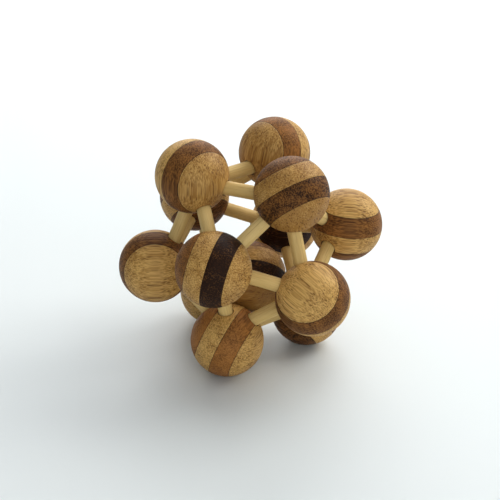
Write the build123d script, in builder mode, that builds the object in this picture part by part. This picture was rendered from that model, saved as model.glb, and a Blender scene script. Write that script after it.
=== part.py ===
from build123d import *
from math import cos, radians, sin, sqrt
import os

# Ball-and-dowel burr puzzle.
#
# Twelve laminated balls stand at the corners of an icosahedron and thirty round dowels run along
# its edges, so each ball takes five dowels.  Every dowel is glued into one ball and slides in the
# hole of the next.  A thirteenth ball lies loose inside the cage, on the three balls that are the
# puzzle's feet.  +Z is up and the origin is on the floor, under the middle of the cage.

# Driving dimensions, mm
BALL_DIAMETER = 25.0
BALL_SPACING = 35.5      # between the centres of two balls that share a dowel
STRIP_THICKNESS = 6.6    # four strips are glued face to face before a ball is turned
DOWEL_DIAMETER = 4.8
DOWEL_CHAMFER = 0.3
AIM_INSET = 3.1          # a ball's five holes aim at a point this far inside its centre
SOCKET_FLOOR = 5.0       # from that point out to the flat bottom of a hole
SLIDING_CLEARANCE = 0.1  # radial, around the end that slides
GLUE_LINE = 0.03         # radial, around the end that is glued
END_GAP = 0.3            # a sliding end stops this far short of the bottom of its hole
CORE_GAP = 0.15          # between the loose ball and each foot ball

BALL_RADIUS = BALL_DIAMETER / 2
DOWEL_RADIUS = DOWEL_DIAMETER / 2

# An icosahedron that stands on a face has its corners on four levels, three to a level.
GOLDEN = (1 + sqrt(5)) / 2
NARROW_RING = BALL_SPACING / sqrt(3)
WIDE_RING = NARROW_RING * GOLDEN
FEET_LEVEL = BALL_RADIUS
LOW_LEVEL = FEET_LEVEL + NARROW_RING
HIGH_LEVEL = FEET_LEVEL + WIDE_RING
TOP_LEVEL = HIGH_LEVEL + NARROW_RING


def ring_corner(radius, angle, level):
    """A corner of the icosahedron, at an angle in degrees around the vertical axis."""
    return Vector(radius * cos(radians(angle)), radius * sin(radians(angle)), level)


BALL_CENTRES = {
    "foot_front": ring_corner(NARROW_RING, -120, FEET_LEVEL),
    "foot_right": ring_corner(NARROW_RING, 0, FEET_LEVEL),
    "foot_back": ring_corner(NARROW_RING, 120, FEET_LEVEL),
    "low_front": ring_corner(WIDE_RING, -60, LOW_LEVEL),
    "low_back": ring_corner(WIDE_RING, 60, LOW_LEVEL),
    "low_left": ring_corner(WIDE_RING, 180, LOW_LEVEL),
    "high_front": ring_corner(WIDE_RING, -120, HIGH_LEVEL),
    "high_right": ring_corner(WIDE_RING, 0, HIGH_LEVEL),
    "high_back": ring_corner(WIDE_RING, 120, HIGH_LEVEL),
    "top_front": ring_corner(NARROW_RING, -60, TOP_LEVEL),
    "top_back": ring_corner(NARROW_RING, 60, TOP_LEVEL),
    "top_left": ring_corner(NARROW_RING, 180, TOP_LEVEL),
}
CAGE_CENTRE = Vector(0, 0, (FEET_LEVEL + TOP_LEVEL) / 2)

# The loose ball touches all three feet, apart from CORE_GAP.
CORE_RISE = sqrt((BALL_DIAMETER + CORE_GAP) ** 2 - NARROW_RING ** 2)
CORE_CENTRE = Vector(0, 0, FEET_LEVEL + CORE_RISE)

# The neighbours that the dowels glued into each ball reach: thirty dowels in all.
GLUED_DOWELS = {
    "foot_front": ["foot_back"],
    "foot_right": ["foot_front", "foot_back", "low_front"],
    "foot_back": ["low_left", "low_back", "high_back"],
    "low_front": ["foot_front", "high_right"],
    "low_back": ["foot_right", "high_right"],
    "low_left": ["foot_front", "high_front"],
    "high_front": ["foot_front", "low_front", "top_left"],
    "high_right": ["foot_right", "top_back"],
    "high_back": ["low_left", "low_back"],
    "top_front": ["low_front", "high_front", "high_right", "top_left"],
    "top_back": ["high_back", "low_back", "top_front"],
    "top_left": ["low_left", "high_back", "top_back"],
}

# The way from each ball's dark outer strip to its light one, as a compass angle and a rise in
# degrees.  The balls were drilled with no regard to their strips, so these follow no pattern.
STRIP_DIRECTIONS = {
    "foot_front": (-30, -20),
    "foot_right": (23, 39),
    "foot_back": (-170, -40),
    "low_front": (-125, 45),
    "low_back": (81, -27),
    "low_left": (-95, 5),
    "high_front": (-25, -10),
    "high_right": (30, 85),
    "high_back": (106, 41),
    "top_front": (-60, -45),
    "top_back": (-145, 15),
    "top_left": (-60, 0),
    "core": (-100, -35),
}

# Each colour's two strips, from where they start to where they end along that direction.
DARK_LAYERS = [(-BALL_RADIUS, -STRIP_THICKNESS), (0, STRIP_THICKNESS)]
LIGHT_LAYERS = [(-STRIP_THICKNESS, 0), (STRIP_THICKNESS, BALL_RADIUS)]


def aim_point(ball):
    """The point inside a ball where the axes of its five dowels meet."""
    centre = BALL_CENTRES[ball]
    inward = (CAGE_CENTRE - centre).normalized()
    return centre + inward * AIM_INSET


def socket_floor(ball, neighbour):
    """The flat bottom of the hole in a ball that points at a neighbour."""
    start = aim_point(ball)
    outward = (aim_point(neighbour) - start).normalized()
    return Plane(origin=start + outward * SOCKET_FLOOR, z_dir=outward)


def sockets(ball):
    """The bottom and radius of a ball's holes: snug for its own dowels, looser for its neighbours'."""
    own = GLUED_DOWELS.get(ball, [])
    others = [name for name, reached in GLUED_DOWELS.items() if ball in reached]
    snug = [(socket_floor(ball, name), DOWEL_RADIUS + GLUE_LINE) for name in own]
    loose = [(socket_floor(ball, name), DOWEL_RADIUS + SLIDING_CLEARANCE) for name in others]
    return snug + loose


def strip_axis(ball, centre):
    """The line through a ball's centre that its strips are stacked along."""
    compass, rise = STRIP_DIRECTIONS[ball]
    level = cos(radians(rise))
    direction = Vector(level * cos(radians(compass)), level * sin(radians(compass)), sin(radians(rise)))
    return Axis(centre, direction)


def make_strips(node, ball, centre, layers):
    """One colour of a ball: two slices of a sphere, drilled for the dowels that cross them."""
    stack = strip_axis(ball, centre)
    across = stack.direction.cross(Vector(0, 0, 1)).normalized()
    with BuildPart() as strips:
        with BuildSketch(Plane(origin=centre, x_dir=across, z_dir=across.cross(stack.direction))):
            for low, high in layers:
                with Locations((BALL_RADIUS / 2, (low + high) / 2)):
                    Rectangle(BALL_RADIUS, high - low)
            Circle(BALL_RADIUS, mode=Mode.INTERSECT)
        revolve(axis=stack)
        for floor, radius in sockets(ball):
            with BuildSketch(floor):
                Circle(radius)
            extrude(amount=BALL_RADIUS, mode=Mode.SUBTRACT)
    strips.part.label = node
    export_step(strips.part, f"parts/{node}.step")


def make_dowel(ball, neighbour):
    """A dowel from the bottom of its glued hole to just short of the bottom of the other."""
    floor = socket_floor(ball, neighbour)
    far_floor = socket_floor(neighbour, ball)
    length = (far_floor.origin - floor.origin).length - END_GAP
    with BuildPart() as dowel:
        with BuildSketch(floor):
            Circle(DOWEL_RADIUS)
        extrude(amount=length)
        chamfer(dowel.edges().filter_by(GeomType.CIRCLE), DOWEL_CHAMFER)
    dowel.part.label = f"dowel_{ball}_to_{neighbour}"
    export_step(dowel.part, f"parts/{dowel.part.label}.step")


os.makedirs("parts", exist_ok=True)

for ball, centre in {**BALL_CENTRES, "core": CORE_CENTRE}.items():
    make_strips(f"{ball}_dark_strips", ball, centre, DARK_LAYERS)
    make_strips(f"{ball}_light_strips", ball, centre, LIGHT_LAYERS)

for ball, neighbours in GLUED_DOWELS.items():
    for neighbour in neighbours:
        make_dowel(ball, neighbour)
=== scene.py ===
# %% [markdown]
# # A ball-and-dowel burr puzzle
# Twelve striped bamboo balls stand at the corners of an icosahedron, joined by thirty round
# dowels, with a thirteenth ball loose inside.  The sizes and the way it moves are settled in the
# CAD frame.  Here each CAD part gets the turned, drilled and sanded piece that stands for it.

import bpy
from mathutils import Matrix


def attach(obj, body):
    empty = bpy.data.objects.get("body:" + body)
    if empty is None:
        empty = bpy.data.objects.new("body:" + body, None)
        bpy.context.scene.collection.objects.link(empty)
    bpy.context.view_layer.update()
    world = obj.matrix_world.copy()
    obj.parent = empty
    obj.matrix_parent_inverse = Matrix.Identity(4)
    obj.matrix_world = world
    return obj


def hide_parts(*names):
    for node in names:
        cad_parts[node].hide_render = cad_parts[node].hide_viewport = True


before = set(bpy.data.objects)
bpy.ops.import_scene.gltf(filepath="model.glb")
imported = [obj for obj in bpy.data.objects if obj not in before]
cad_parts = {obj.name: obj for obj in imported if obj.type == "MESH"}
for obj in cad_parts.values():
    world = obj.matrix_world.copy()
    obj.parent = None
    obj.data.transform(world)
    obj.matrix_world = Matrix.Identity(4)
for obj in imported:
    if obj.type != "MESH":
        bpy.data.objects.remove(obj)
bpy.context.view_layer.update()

# %% Modules
import math
import random

import bpy
from mathutils import Matrix, Vector

# %% [markdown]
# ## Driving sizes
# A workshop drawing of this puzzle needs few numbers: the ball, the dowel, how far apart the balls
# stand, and how far inside a ball's centre its holes aim.  They are in millimetres, as on the
# drawing, and Blender's metres come in only where a mesh is made.

# %% Sizes in millimetres
MM = 0.001
BALL_RADIUS = 12.5
BALL_SPACING = 35.5
STRIP_THICKNESS = 6.6
DOWEL_RADIUS = 2.4
AIM_INSET = 3.1
SOCKET_FLOOR = 5.0
SLIDING_CLEARANCE = 0.1
GLUE_LINE = 0.03
END_GAP = 0.3
print("ball", 2 * BALL_RADIUS, "mm, dowel", 2 * DOWEL_RADIUS, "mm, spacing", BALL_SPACING, "mm")

# %% [markdown]
# ## Where the balls stand
# An icosahedron that stands on one of its faces has its corners on four levels, three to a level.
# The narrow rings at the bottom and the top are the feet and the top balls, and the golden ratio
# gives the two wide rings between them.  The loose ball finds its own height: it lies on the feet.

# %% Ball centres
GOLDEN = (1 + math.sqrt(5)) / 2
NARROW_RING = BALL_SPACING / math.sqrt(3)
WIDE_RING = NARROW_RING * GOLDEN
LEVELS = {
    "foot": (NARROW_RING, BALL_RADIUS),
    "low": (WIDE_RING, BALL_RADIUS + NARROW_RING),
    "high": (WIDE_RING, BALL_RADIUS + WIDE_RING),
    "top": (NARROW_RING, BALL_RADIUS + WIDE_RING + NARROW_RING),
}
COMPASS = {
    "foot": {"front": -120, "right": 0, "back": 120},
    "low": {"front": -60, "back": 60, "left": 180},
    "high": {"front": -120, "right": 0, "back": 120},
    "top": {"front": -60, "back": 60, "left": 180},
}


def towards(compass, rise):
    """The direction at a compass angle and a rise above level, both in degrees."""
    level = math.cos(math.radians(rise))
    turn = math.radians(compass)
    return Vector((level * math.cos(turn), level * math.sin(turn), math.sin(math.radians(rise))))


ball_centres = {}
for level, (radius, height) in LEVELS.items():
    for side, angle in COMPASS[level].items():
        ball_centres[f"{level}_{side}"] = towards(angle, 0) * radius + Vector((0, 0, height))

cage_centre = sum(ball_centres.values(), Vector()) / len(ball_centres)
print("cage centre", tuple(round(c, 2) for c in cage_centre))

# %% [markdown]
# ## The camera
# The puzzle is looked down on from its front, a little to the left, with a long lens, so that near
# and far balls come out nearly the same size.  The camera is placed by its direction from the
# middle of the cage and its distance, and rolled a little over one degree.

# %% Camera
CAMERA_DIRECTION = towards(-98.8, 26.5)
CAMERA_DISTANCE = 466.3
CAMERA_ROLL = math.radians(1.3)
AIM_OFFSET = Vector((-0.44, -0.70, -1.52))
LENS = 97.2

camera_data = bpy.data.cameras.new("camera")
camera_data.lens = LENS
camera_data.sensor_width = 36.0
camera_data.clip_start = 0.01
camera = bpy.data.objects.new("camera", camera_data)
bpy.context.scene.collection.objects.link(camera)
camera.location = (cage_centre + CAMERA_DIRECTION * CAMERA_DISTANCE) * MM
aim = (cage_centre + AIM_OFFSET) * MM - camera.location
camera.rotation_mode = "QUATERNION"
level_view = aim.to_track_quat("-Z", "Y").to_matrix()
camera.rotation_quaternion = (level_view @ Matrix.Rotation(CAMERA_ROLL, 3, "Z")).to_quaternion()
bpy.context.scene.camera = camera
print("camera at", tuple(round(c, 3) for c in camera.location))

# %% [markdown]
# ## Floor and light
# The puzzle stands on a seamless white sheet.  One broad light to the right and a little behind
# rims the balls and throws a soft shadow to the left.  Weaker ones overhead and in front keep the
# near faces readable, and one more whitens the sheet behind.

# %% Floor
bpy.ops.object.select_all(action="DESELECT")
bpy.ops.mesh.primitive_plane_add(size=4.0)
floor = bpy.context.object
floor.name = "floor"


# %% Lights
def softbox(name, place, target, size, power, tint):
    """A square area light that looks at a target, with lengths in metres and power in watts."""
    lamp = bpy.data.lights.new(name, "AREA")
    lamp.size = size
    lamp.energy = power
    lamp.color = tint
    holder = bpy.data.objects.new(name, lamp)
    bpy.context.scene.collection.objects.link(holder)
    holder.location = place
    holder.rotation_mode = "QUATERNION"
    holder.rotation_quaternion = (Vector(target) - Vector(place)).to_track_quat("-Z", "Y")


middle = cage_centre * MM
softbox("window", (0.58, 0.24, 0.52), middle, 0.55, 4.4, (1.0, 0.985, 0.95))
softbox("overhead", (0.0, 0.30, 2.0), middle, 3.0, 17.0, (1.0, 1.0, 1.0))
softbox("front_fill", (0.10, -0.90, 0.38), middle, 0.80, 3.0, (1.0, 0.99, 0.97))
softbox("back_wash", (0.15, 1.05, 0.50), (0.15, 0.60, 0.0), 0.90, 8.0, (1.0, 1.0, 1.0))

SKY_COLOUR = (0.93, 0.97, 1.0, 1.0)
SKY_STRENGTH = 0.18
world = bpy.data.worlds.new("studio")
bpy.context.scene.world = world
world.use_nodes = True
background = world.node_tree.nodes["Background"]
background.inputs["Color"].default_value = SKY_COLOUR
background.inputs["Strength"].default_value = SKY_STRENGTH
bpy.context.scene.view_settings.view_transform = "Standard"

# %% [markdown]
# ## Writing a material as sums
# Bamboo is bundles of dark fibre in pale pith.  Its pattern is easiest to read as arithmetic, so a
# small class wraps a node's output: `1 - mask` or `streaks * 0.3` then adds the Math nodes itself.
# Any other node comes from `node`, which takes its settings first and then what goes into it.


# %% Shader arithmetic
class Value:
    """One output of a material's nodes, on which + - and * build more nodes."""

    def __init__(self, tree, output=None):
        self.tree = tree
        self.output = output

    def node(self, kind, inputs=None, output=0, **settings):
        """Adds a node: its settings first, then the values or links of its inputs."""
        made = self.tree.nodes.new("ShaderNode" + kind)
        for setting, choice in settings.items():
            setattr(made, setting, choice)
        for key, given in (inputs or {}).items():
            if isinstance(given, Value):
                self.tree.links.new(given.output, made.inputs[key])
            else:
                made.inputs[key].default_value = given
        return Value(self.tree, made.outputs[output])

    def maths(self, operation, first, second):
        return self.node("Math", {0: first, 1: second}, operation=operation)

    def __add__(self, other):
        return self.maths("ADD", self, other)

    def __sub__(self, other):
        return self.maths("SUBTRACT", self, other)

    def __mul__(self, other):
        return self.maths("MULTIPLY", self, other)

    def __radd__(self, other):
        return self.maths("ADD", other, self)

    def __rsub__(self, other):
        return self.maths("SUBTRACT", other, self)

    def __rmul__(self, other):
        return self.maths("MULTIPLY", other, self)

    def size(self):
        """This value without its sign."""
        return self.node("Math", {0: self}, operation="ABSOLUTE")

    def lesser(self, other):
        """The smaller of two values."""
        return self.maths("MINIMUM", self, other)

    def between(self, low, high):
        """0 below low, 1 above high, and a smooth step from one to the other."""
        inputs = {"Value": self, "From Min": low, "From Max": high}
        return self.node("MapRange", inputs, interpolation_type="SMOOTHSTEP")

    def tint(self, base, other):
        """base where this is 0 and the other colour where it is 1."""
        first = base if isinstance(base, Value) else (*base, 1.0)
        second = other if isinstance(other, Value) else (*other, 1.0)
        return self.node("Mix", {0: self, 6: first, 7: second}, output=2, data_type="RGBA")

    def stretched(self, scale):
        """This vector with each axis scaled by its own factor."""
        return self.node("VectorMath", {0: self, 1: scale}, operation="MULTIPLY")

    def noise(self, scale, detail=2.0):
        """A noise pattern over this vector, with each axis scaled by its own factor."""
        inputs = {"Vector": self.stretched(scale), "Scale": 1.0, "Detail": detail}
        return self.node("TexNoise", inputs)


def new_material(name, specular):
    """A material, its node tree as a Value to build on, and its surface shader."""
    material = bpy.data.materials.new(name)
    material.use_nodes = True
    shader = material.node_tree.nodes["Principled BSDF"]
    shader.inputs["Specular IOR Level"].default_value = specular
    return material, Value(material.node_tree), shader


print("shader arithmetic ready")

# %% [markdown]
# ## Paper for the floor
# A white sheet is never one flat white.  A very soft mottle and a fine tooth keep it from looking
# like a hole in the picture, and stay too weak to draw the eye.

# %% Floor material
material, nodes, shader = new_material("white_sheet", 0.3)
place = nodes.node("TexCoord", output="Object")
mottle = nodes.node("TexNoise", {"Vector": place, "Scale": 3.0, "Detail": 2.0})
tooth = nodes.node("TexNoise", {"Vector": place, "Scale": 900.0, "Detail": 2.0})
sheet_colour = mottle.tint((0.75, 0.81, 0.82), (0.79, 0.84, 0.85))
material.node_tree.links.new(sheet_colour.output, shader.inputs["Base Color"])
relief = nodes.node("Bump", {"Height": tooth, "Strength": 0.05, "Distance": 0.0002})
material.node_tree.links.new(relief.output, shader.inputs["Normal"])
floor.data.materials.append(material)
print("floor", material.name)

# %% [markdown]
# ## Bamboo
# Seen along the stem, a bamboo strip is fine lengthwise streaks.  Seen from its end it is a crowd
# of dark dots, the cut fibre bundles.  One pattern gives both: bundles laid out across the strip
# and stretched a long way down it, so that a ball shows dots where it cuts the stem squarely and
# streaks where it runs along it.  Each piece carries an attribute, `blank`, that says where every
# point sat in the glued-up blank, in millimetres: X down the stem, Y across it, Z through the four
# strips.  `tone` says how dark that strip came out, on a few ball strips darkened further as
# painted shade, and `depth` how far a point lies under the turned surface, because the wood inside
# a drilled hole is rough and takes up dirt, and is darkened there as painted shade too.


# %% Bamboo material
BROAD_SHARE, STREAK_SHARE = 0.35, 0.65  # what broad and fine streaks add to the grain
BASE_TONE, TONE_REACH = 0.15, 0.7  # where tone 0 stands between pale and deep, and what tone 1 adds
FIBRE_COVER, GLUE_COVER, HOLE_DIRT_AND_SHADE_COVER = 0.8, 0.8, 0.93  # how much of the wood each one hides
GLUE_EDGES = (0.13, 0.05)  # mm from a seam to where its glue line fades out and where it is full
HOLE_DIRT_AND_SHADE_EDGES = (-0.02, 0.16)  # mm under the turned surface to where the dirt and painted shade in a hole start and are full


def bamboo(name, pale, deep, fibre, glue_and_hole_shade, contrast, specular):
    """Laminated bamboo between a pale and a deep tone, with fibre ends, seams, and painted shade
    and dirt in holes.
    """
    material, nodes, shader = new_material(name, specular)
    blank = nodes.node("Attribute", output="Vector", attribute_name="blank")
    tone = nodes.node("Attribute", output="Fac", attribute_name="tone")
    depth = nodes.node("Attribute", output="Fac", attribute_name="depth")

    # broad and narrow streaks, long down the stem and short across it
    broad = blank.noise((0.05, 0.32, 0.32)).between(0.30, 0.70)
    streak = blank.noise((0.07, 2.3, 2.3))

    # cut fibre bundles, which crowd together in some parts of a strip and thin out in others
    cells = {"Vector": blank.stretched((0.06, 1.7, 1.7)), "Scale": 1.0, "Randomness": 0.95}
    bundle = nodes.node("TexVoronoi", cells, output="Distance", feature="F1")
    dots = (bundle - broad * 0.20).between(0.30, 0.05)

    # the wood, with the dots, the glue lines and the dirt and painted shade in the holes laid over
    # it in turn
    grain = broad * BROAD_SHARE + streak.between(0.36, 0.64) * STREAK_SHARE
    darkness = (grain - 0.5) * contrast + tone * TONE_REACH + BASE_TONE
    wood = darkness.tint(pale, deep)
    wood = (dots * contrast * FIBRE_COVER).tint(wood, fibre)
    stack = nodes.node("SeparateXYZ", {"Vector": blank}, output="Z").size()
    seam = (stack - STRIP_THICKNESS).size().lesser(stack)
    line = seam.between(*GLUE_EDGES)
    wood = (line * GLUE_COVER).tint(wood, glue_and_hole_shade)
    # dirt and painted shade: wood under the turned surface, inside the holes and countersinks, goes
    # dark
    wood = (depth.between(*HOLE_DIRT_AND_SHADE_EDGES) * HOLE_DIRT_AND_SHADE_COVER).tint(wood, glue_and_hole_shade)
    material.node_tree.links.new(wood.output, shader.inputs["Base Color"])

    # cut fibre ends are duller than the wood between them, and sit a little lower
    polish = 0.52 + (streak - 0.5) * 0.15 + dots * 0.12
    material.node_tree.links.new(polish.output, shader.inputs["Roughness"])
    height = streak * 0.6 - dots * 0.8 - line * 0.8
    relief = nodes.node("Bump", {"Height": height, "Strength": 0.6, "Distance": 0.00014})
    material.node_tree.links.new(relief.output, shader.inputs["Normal"])
    return material


finishes = {
    "light": bamboo("light_strips", pale=(0.72, 0.44, 0.135), deep=(0.35, 0.172, 0.038),
                    fibre=(0.13, 0.052, 0.011), glue_and_hole_shade=(0.040, 0.018, 0.006),
                    contrast=0.95, specular=0.25),
    "dark": bamboo("dark_strips", pale=(0.42, 0.175, 0.043), deep=(0.018, 0.0055, 0.0015),
                   fibre=(0.050, 0.016, 0.005), glue_and_hole_shade=(0.014, 0.006, 0.003),
                   contrast=0.62, specular=0.12),
}
print("materials", [material.name for material in finishes.values()])

# %% [markdown]
# ## Dowel wood
# A dowel is split from one board and keeps its fibres whole from end to end.  So its streaks are
# long and fine, with darker threads where a bundle was cut open, and no dots except at the ends.
# Here the stem runs along Z, because a dowel is made standing on its end.

# %% Dowel material
STRAW_PALE, STRAW_DEEP = (0.82, 0.61, 0.255), (0.64, 0.43, 0.145)
STREAK_COLOUR, THREAD_COLOUR = (0.46, 0.27, 0.09), (0.50, 0.33, 0.12)
STREAK_COVER, THREAD_COVER = 0.45, 0.25

material, nodes, shader = new_material("dowel_straw", 0.3)
blank = nodes.node("Attribute", output="Vector", attribute_name="blank")
tone = nodes.node("Attribute", output="Fac", attribute_name="tone")
broad = blank.noise((0.5, 0.5, 0.06))
streak = blank.noise((2.4, 2.4, 0.10), detail=4.0)
thread = blank.noise((6.0, 6.0, 0.5))
straw = (broad * 0.6 + streak * 0.4 + (tone - 0.5) * 0.6).between(0.2, 0.8)
straw = straw.tint(STRAW_PALE, STRAW_DEEP)
straw = (streak.between(0.56, 0.70) * STREAK_COVER).tint(straw, STREAK_COLOUR)
straw = (thread.between(0.45, 0.8) * THREAD_COVER).tint(straw, THREAD_COLOUR)
material.node_tree.links.new(straw.output, shader.inputs["Base Color"])
polish = 0.50 + streak * 0.15
material.node_tree.links.new(polish.output, shader.inputs["Roughness"])
relief = nodes.node("Bump", {"Height": thread * 0.5 + streak, "Strength": 0.4, "Distance": 0.00006})
material.node_tree.links.new(relief.output, shader.inputs["Normal"])
finishes["dowel"] = material
print("dowel material", material.name)

# %% [markdown]
# ## Helpers for modelling
# Every piece is made at the origin, the way it would lie on the bench, and then its mesh is
# carried to its place, so that the finished object sits unturned at the origin like a CAD node.


# %% Bench helpers
BOARD_REACH = 400  # mm, how far from the middle of a long board a blank may be cut


def clear_selection():
    bpy.ops.object.select_all(action="DESELECT")


def work_on(piece):
    """Makes a piece the only one selected, and the active one."""
    clear_selection()
    piece.select_set(True)
    bpy.context.view_layer.objects.active = piece


def copy_of(piece, name):
    """A copy with a mesh of its own."""
    twin = piece.copy()
    twin.data = piece.data.copy()
    twin.name = name
    twin.data.name = name
    bpy.context.scene.collection.objects.link(twin)
    return twin


def join(pieces, name):
    """Joins pieces into one object."""
    work_on(pieces[0])
    for piece in pieces:
        piece.select_set(True)
    bpy.ops.object.join()
    pieces[0].name = name
    pieces[0].data.name = name
    return pieces[0]


def place_of(x_axis, z_axis, origin):
    """Where a piece made along +Z goes: its Z along z_axis, its X towards x_axis, origin in mm."""
    z_axis = z_axis.normalized()
    x_axis = (x_axis - z_axis * x_axis.dot(z_axis)).normalized()
    turn = Matrix((x_axis, z_axis.cross(x_axis), z_axis)).transposed().to_4x4()
    return Matrix.Translation(origin * MM) @ turn


def carry_to(piece, place):
    """Carries a piece's mesh to its place and leaves the object at the origin."""
    piece.matrix_world = place
    work_on(piece)
    bpy.ops.object.transform_apply(location=True, rotation=True, scale=True)


def mark(piece, name, values):
    """Stores one number per point of a piece."""
    piece.data.attributes.new(name, "FLOAT", "POINT").data.foreach_set("value", values)


def mark_blank(piece, place):
    """Stores where each point sat in the wood, somewhere along and across a long board."""
    back = place.inverted()
    points = [back @ vertex.co / MM for vertex in piece.data.vertices]
    along = random.uniform(-BOARD_REACH, BOARD_REACH)
    across = random.uniform(-BOARD_REACH, BOARD_REACH)
    board = Vector((along, across, 0))
    blank = piece.data.attributes.new("blank", "FLOAT_VECTOR", "POINT")
    blank.data.foreach_set("vector", [c for point in points for c in point + board])
    return points


print("bench ready")

# %% [markdown]
# ## The turned ball
# Four bamboo strips are glued face to face, dark and light in turn, and the blank is turned to a
# ball on a lathe.  Here a sphere is added at its size and sawn with the bisect tool at the glue
# lines.  Each colour keeps its two slices as one piece, and each slice's rim is eased a hair, so
# that the glue line shows as a fine groove.  Both pieces are made once and copied for all the
# balls.

# %% Two slices of a ball
RIM_EASE = 0.04
BALL_SEGMENTS, BALL_RINGS = 96, 64
CUT_TOLERANCE = 1e-6  # metres, because bisect's own is coarse for a piece this small
LAYERS = {
    "dark": [(-BALL_RADIUS, -STRIP_THICKNESS), (0.0, STRIP_THICKNESS)],
    "light": [(-STRIP_THICKNESS, 0.0), (STRIP_THICKNESS, BALL_RADIUS)],
}


def saw(height, keep_below):
    """Cuts the open mesh flat at a height and closes it, then eases the new rim."""
    bpy.ops.mesh.select_all(action="SELECT")
    bpy.ops.mesh.bisect(plane_co=(0, 0, height * MM), plane_no=(0, 0, 1), use_fill=True,
                        clear_outer=keep_below, clear_inner=not keep_below,
                        threshold=CUT_TOLERANCE)
    bpy.ops.mesh.bevel(offset=RIM_EASE * MM, segments=2, affect="EDGES")


def slice_of_ball(low, high):
    """The part of a ball between two heights."""
    clear_selection()
    bpy.ops.mesh.primitive_uv_sphere_add(segments=BALL_SEGMENTS, ring_count=BALL_RINGS,
                                         radius=BALL_RADIUS * MM)
    ball = bpy.context.object
    bpy.ops.object.mode_set(mode="EDIT")
    if high < BALL_RADIUS:
        saw(high, keep_below=True)
    if low > -BALL_RADIUS:
        saw(low, keep_below=False)
    bpy.ops.object.mode_set(mode="OBJECT")
    return ball


turned = {}
for colour, layers in LAYERS.items():
    turned[colour] = join([slice_of_ball(low, high) for low, high in layers], f"turned_{colour}")
    print(colour, "slices", len(turned[colour].data.polygons), "faces")

# %% [markdown]
# ## The drill
# Each ball is drilled five times with a flat-bottomed bit.  The holes don't aim at the ball's
# centre but a little inside it, so each one leaves the surface at a slant of twelve degrees, and
# its mouth is countersunk square to the surface.  The bit here is a cylinder sawn off at that
# slant, whose cut face is extruded and widened into a flare.  A glued dowel's hole is snug and
# barely countersunk.

# %% Where a hole meets the surface
cage_radius = (ball_centres["foot_front"] - cage_centre).length
half_turn = math.asin(BALL_SPACING / 2 / cage_radius)
sideways = AIM_INSET * math.cos(half_turn)
behind = AIM_INSET * math.sin(half_turn)
mouth = math.sqrt(BALL_RADIUS ** 2 - sideways ** 2) - behind
lean = math.asin(sideways / BALL_RADIUS)
square_to_ball = Vector((-math.sin(lean), 0, math.cos(lean)))
print(f"mouth {mouth:.2f} mm out, leaning {math.degrees(lean):.1f} degrees")

# %% Drill bits
FLARE_LENGTH = 1.5
SNUG_COUNTERSINK = 0.08
LOOSE_COUNTERSINK = 0.3
ROUND_SIDES = 48


def drill_bit(name, radius, countersink):
    """A bit along +Z that widens at 45 degrees from countersink below the ball's surface."""
    widest = radius + countersink
    below = countersink + widest ** 2 / (2 * BALL_RADIUS)
    neck = Vector((0, 0, mouth - below / math.cos(lean)))
    clear_selection()
    bpy.ops.mesh.primitive_cylinder_add(vertices=ROUND_SIDES, radius=radius * MM,
                                        depth=2 * SOCKET_FLOOR * MM,
                                        location=(0, 0, 2 * SOCKET_FLOOR * MM))
    bit = bpy.context.object
    bpy.ops.object.transform_apply(location=True)
    bpy.ops.object.mode_set(mode="EDIT")
    bpy.ops.mesh.select_all(action="SELECT")
    bpy.ops.mesh.bisect(plane_co=neck * MM, plane_no=square_to_ball, use_fill=True,
                        clear_outer=True, threshold=CUT_TOLERANCE)
    outwards = square_to_ball * FLARE_LENGTH
    bpy.ops.mesh.extrude_region_move(TRANSFORM_OT_translate={"value": outwards * MM})
    widening = (radius + FLARE_LENGTH) / radius
    bpy.ops.transform.resize(value=(widening, widening, widening),
                             center_override=(neck + outwards) * MM)
    bpy.ops.object.mode_set(mode="OBJECT")
    bit.name = name
    return bit


snug_bit = drill_bit("snug_bit", DOWEL_RADIUS + GLUE_LINE, SNUG_COUNTERSINK)
loose_bit = drill_bit("loose_bit", DOWEL_RADIUS + SLIDING_CLEARANCE, LOOSE_COUNTERSINK)
for bit in (snug_bit, loose_bit):
    print(bit.name, tuple(round(side / MM, 2) for side in bit.dimensions))

# %% [markdown]
# ## Which dowel is glued where
# Thirty dowels run along the edges of the icosahedron.  Each is glued into one ball and slides in
# the next, and this table says which, as the CAD does.

# %% Glued dowels
GLUED_DOWELS = {
    "foot_front": ["foot_back"],
    "foot_right": ["foot_front", "foot_back", "low_front"],
    "foot_back": ["low_left", "low_back", "high_back"],
    "low_front": ["foot_front", "high_right"],
    "low_back": ["foot_right", "high_right"],
    "low_left": ["foot_front", "high_front"],
    "high_front": ["foot_front", "low_front", "top_left"],
    "high_right": ["foot_right", "top_back"],
    "high_back": ["low_left", "low_back"],
    "top_front": ["low_front", "high_front", "high_right", "top_left"],
    "top_back": ["high_back", "low_back", "top_front"],
    "top_left": ["low_left", "high_back", "top_back"],
}
print("dowels", sum(len(reached) for reached in GLUED_DOWELS.values()))


# %% Holes of a ball
def aim_point(ball):
    """The point inside a ball where the axes of its dowels meet."""
    centre = ball_centres[ball]
    return centre + (cage_centre - centre).normalized() * AIM_INSET


def hole_place(ball, neighbour):
    """Where the bit stands for the hole in a ball that points at a neighbour."""
    start = aim_point(ball)
    return place_of(ball_centres[ball] - cage_centre, aim_point(neighbour) - start, start)


def all_bits(ball):
    """The five bits of a ball in place, as one piece."""
    bits = []
    for owner, reached in GLUED_DOWELS.items():
        if owner == ball:
            bits += [(snug_bit, name) for name in reached]
        elif ball in reached:
            bits.append((loose_bit, owner))
    placed = []
    for bit, neighbour in bits:
        placed.append(copy_of(bit, f"bit_{ball}_{neighbour}"))
        carry_to(placed[-1], hole_place(ball, neighbour))
    return join(placed, f"bits_{ball}")


for ball in ball_centres:
    own = len(GLUED_DOWELS[ball])
    others = sum(ball in reached for reached in GLUED_DOWELS.values())
    print(ball, "has", own, "snug holes and", others, "loose ones")
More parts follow.
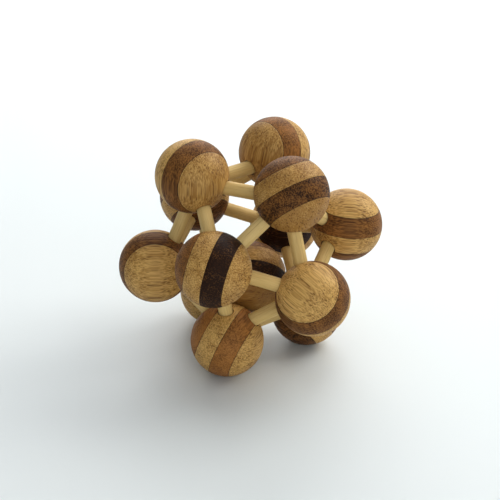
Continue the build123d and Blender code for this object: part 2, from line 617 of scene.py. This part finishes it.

# %% [markdown]
# ## The balls
# No two balls come off the lathe alike.  For each one the table gives the way its four strips are
# stacked, from the dark outer strip to the light one, then the way the stem runs, both as a
# compass angle and a rise, and then how dark each strip came out, from 0 for the palest to 1.5 for
# the darkest.  On the core, on the lower light strip of the top front ball and on the outer dark
# strip of the low back ball, part of that darkness is painted shade for the shadow they sit in.

# %% Table of balls
BLANKS = {
    "foot_front": ((-30, -20), (60, 0), (0.0, 0.4, 0.15, 0.55)),
    "foot_right": ((23, 39), (113, 0), (0.9, 0.5, 0.6, 0.5)),
    "foot_back": ((-170, -40), (-80, 0), (0.6, 0.5, 0.6, 0.5)),
    "low_front": ((-125, 45), (-53, -17), (0.4, 0.5, 0.65, 0.4)),
    # the outer dark strip, at 1.4, is darkened past the dark wood as painted shade
    "low_back": ((81, -27), (-9, 0), (1.4, 0.5, 0.6, 0.6)),
    "low_left": ((-95, 5), (172, 0), (0.5, 0.5, 0.65, 0.55)),
    "high_front": ((-25, -10), (-100, 25), (0.4, 0.72, 1.36, 0.8)),
    "high_right": ((30, 85), (-8, 0), (0.5, 0.6, 0.55, 0.4)),
    "high_back": ((106, 41), (16, 0), (0.75, 0.3, 0.6, 0.5)),
    # the lower light strip, at 1.3, is darkened as painted shade
    "top_front": ((-60, -45), (-99, 27), (0.6, 0.95, 0.85, 1.3)),
    "top_back": ((-145, 15), (0, 90), (0.55, 0.5, 0.35, 0.9)),
    "top_left": ((-60, 0), (0, 90), (0.5, 0.2, 0.6, 0.9)),
    # all strips darkened as painted shade, for the shade inside the cage
    "core": ((-100, -35), (0, 20), (0.6, 1.0, 1.3, 1.5)),
}
CORE_GAP = 0.15
core_rise = math.sqrt((2 * BALL_RADIUS + CORE_GAP) ** 2 - NARROW_RING ** 2)
core_centre = Vector((0, 0, BALL_RADIUS + core_rise))
print("blanks", len(BLANKS))

# %% Turn, drill and finish
random.seed(12)
BALL_CREASE = math.radians(30)
# the two strips of a colour, counted from the dark outer one, and a height between them
STRIPS = {"dark": (0, 2, -STRIP_THICKNESS / 2), "light": (1, 3, STRIP_THICKNESS / 2)}


def finish_ball(ball, colour, centre, bits):
    """One colour of one ball, cut from its blank and drilled."""
    stack, stem, tones_and_shade = BLANKS[ball]
    place = place_of(towards(*stem), towards(*stack), centre)
    piece = copy_of(turned[colour], f"ball_{ball}_{colour}")
    carry_to(piece, place)
    if bits:
        drilling = piece.modifiers.new("drilling", "BOOLEAN")
        drilling.operation = "DIFFERENCE"
        drilling.solver = "EXACT"
        drilling.object = bits
        work_on(piece)
        bpy.ops.object.modifier_apply(modifier="drilling")
    points = mark_blank(piece, place)
    lower, upper, divide = STRIPS[colour]
    mark(piece, "tone", [tones_and_shade[lower if point.z < divide else upper] for point in points])
    # depth under the surface, which the material darkens as dirt and painted shade in the holes
    mark(piece, "depth", [BALL_RADIUS - point.length for point in points])
    work_on(piece)
    bpy.ops.object.shade_smooth_by_angle(angle=BALL_CREASE)
    piece.data.materials.append(finishes[colour])
    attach(piece, ball)
    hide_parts(f"{ball}_{colour}_strips")
    return piece


balls = []
for ball, centre in {**ball_centres, "core": core_centre}.items():
    bits = all_bits(ball) if ball in ball_centres else None
    balls += [finish_ball(ball, colour, centre, bits) for colour in LAYERS]
    if bits:
        bpy.data.objects.remove(bits)
print("ball pieces", len(balls), "faces", sum(len(piece.data.polygons) for piece in balls))

# %% [markdown]
# ## The dowels
# A bamboo dowel is pushed through a round die, which leaves it not quite round: a few long flats
# where the die cut too little.  One dowel is made from a cylinder, with its ends bevelled and the
# flats planed off with the bisect tool, and copied thirty times, each rolled to its own angle.

# %% One dowel
hole_gap = (aim_point("foot_front") - aim_point("foot_back")).length - 2 * SOCKET_FLOOR
dowel_length = hole_gap - END_GAP
DOWEL_CHAMFER = 0.3
FLAT_DISTANCE = 2.348
FLAT_ANGLES = (10, 75, 152, 214, 301)
FLAT_TOLERANCE = 1e-7  # metres, finer still, because the flats are very shallow

clear_selection()
bpy.ops.mesh.primitive_cylinder_add(vertices=ROUND_SIDES, radius=DOWEL_RADIUS * MM,
                                    depth=dowel_length * MM,
                                    location=(0, 0, dowel_length / 2 * MM))
dowel = bpy.context.object
bpy.ops.object.transform_apply(location=True)
bpy.ops.object.mode_set(mode="EDIT")
bpy.ops.mesh.select_mode(type="FACE")
bpy.ops.mesh.select_all(action="DESELECT")
bpy.ops.object.mode_set(mode="OBJECT")
for face in dowel.data.polygons:
    face.select = abs(face.normal.z) > 0.5
bpy.ops.object.mode_set(mode="EDIT")
bpy.ops.mesh.bevel(offset=DOWEL_CHAMFER * MM, segments=3, affect="EDGES")
for angle in FLAT_ANGLES:
    side = towards(angle, 0)
    bpy.ops.mesh.select_all(action="SELECT")
    bpy.ops.mesh.bisect(plane_co=side * FLAT_DISTANCE * MM, plane_no=side, use_fill=True,
                        clear_outer=True, threshold=FLAT_TOLERANCE)
bpy.ops.object.mode_set(mode="OBJECT")
print(f"dowel {dowel_length:.2f} mm long,", len(dowel.data.polygons), "faces")

# %% Thirty dowels
PEG_CREASE = math.radians(9)
pegs = []
for ball, reached in GLUED_DOWELS.items():
    for neighbour in reached:
        start, end = aim_point(ball), aim_point(neighbour)
        along = (end - start).normalized()
        roll = Vector((random.uniform(-1, 1), random.uniform(-1, 1), random.uniform(-1, 1)))
        place = place_of(roll, along, start + along * SOCKET_FLOOR)
        peg = copy_of(dowel, f"peg_{ball}_to_{neighbour}")
        carry_to(peg, place)
        tone = random.uniform(0.25, 0.75)
        mark(peg, "tone", [tone] * len(mark_blank(peg, place)))
        work_on(peg)
        bpy.ops.object.shade_smooth_by_angle(angle=PEG_CREASE)
        peg.data.materials.append(finishes["dowel"])
        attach(peg, ball)
        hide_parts(f"dowel_{ball}_to_{neighbour}")
        pegs.append(peg)
print("pegs", len(pegs))

# %% [markdown]
# ## Clearing up
# The bits, the turned slices and the first dowel were there only to be copied, so they leave the
# scene.  Sanding and drilling take nothing off the outermost points of the pieces.

# %% Clear the bench
for piece in (*turned.values(), snug_bit, loose_bit, dowel):
    bpy.data.objects.remove(piece)
print("pieces", len(balls) + len(pegs))
